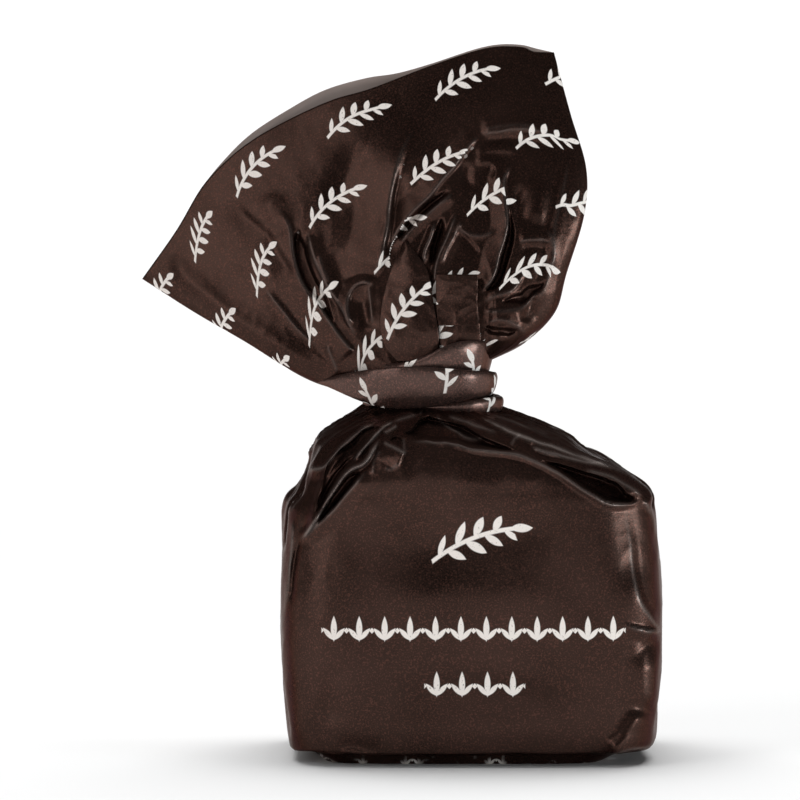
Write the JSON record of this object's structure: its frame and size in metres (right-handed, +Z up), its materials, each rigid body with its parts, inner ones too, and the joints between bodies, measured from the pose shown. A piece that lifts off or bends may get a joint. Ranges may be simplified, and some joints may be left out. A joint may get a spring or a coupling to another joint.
{
  "type": "wrapped chocolate truffle",
  "caption": "Chocolate truffle in a printed dark film wrapper, twisted at the neck and fanned out at the top, standing on a flat base.",
  "frame": {"origin": "centre of the flat base that the wrapped sweet stands on, under the middle of its body", "axes": "+Z up along the wrapped sweet's height, -Y towards the printed front panel, +X to the right seen from the front"},
  "size_m": [0.0442, 0.0284, 0.0603],
  "materials": {
    "wrapper_film": "satin dark brown printed film with cream print"
  },
  "bodies": {
    "root": {"wrapper": "wrapper_film"}
  },
  "joints": []
}
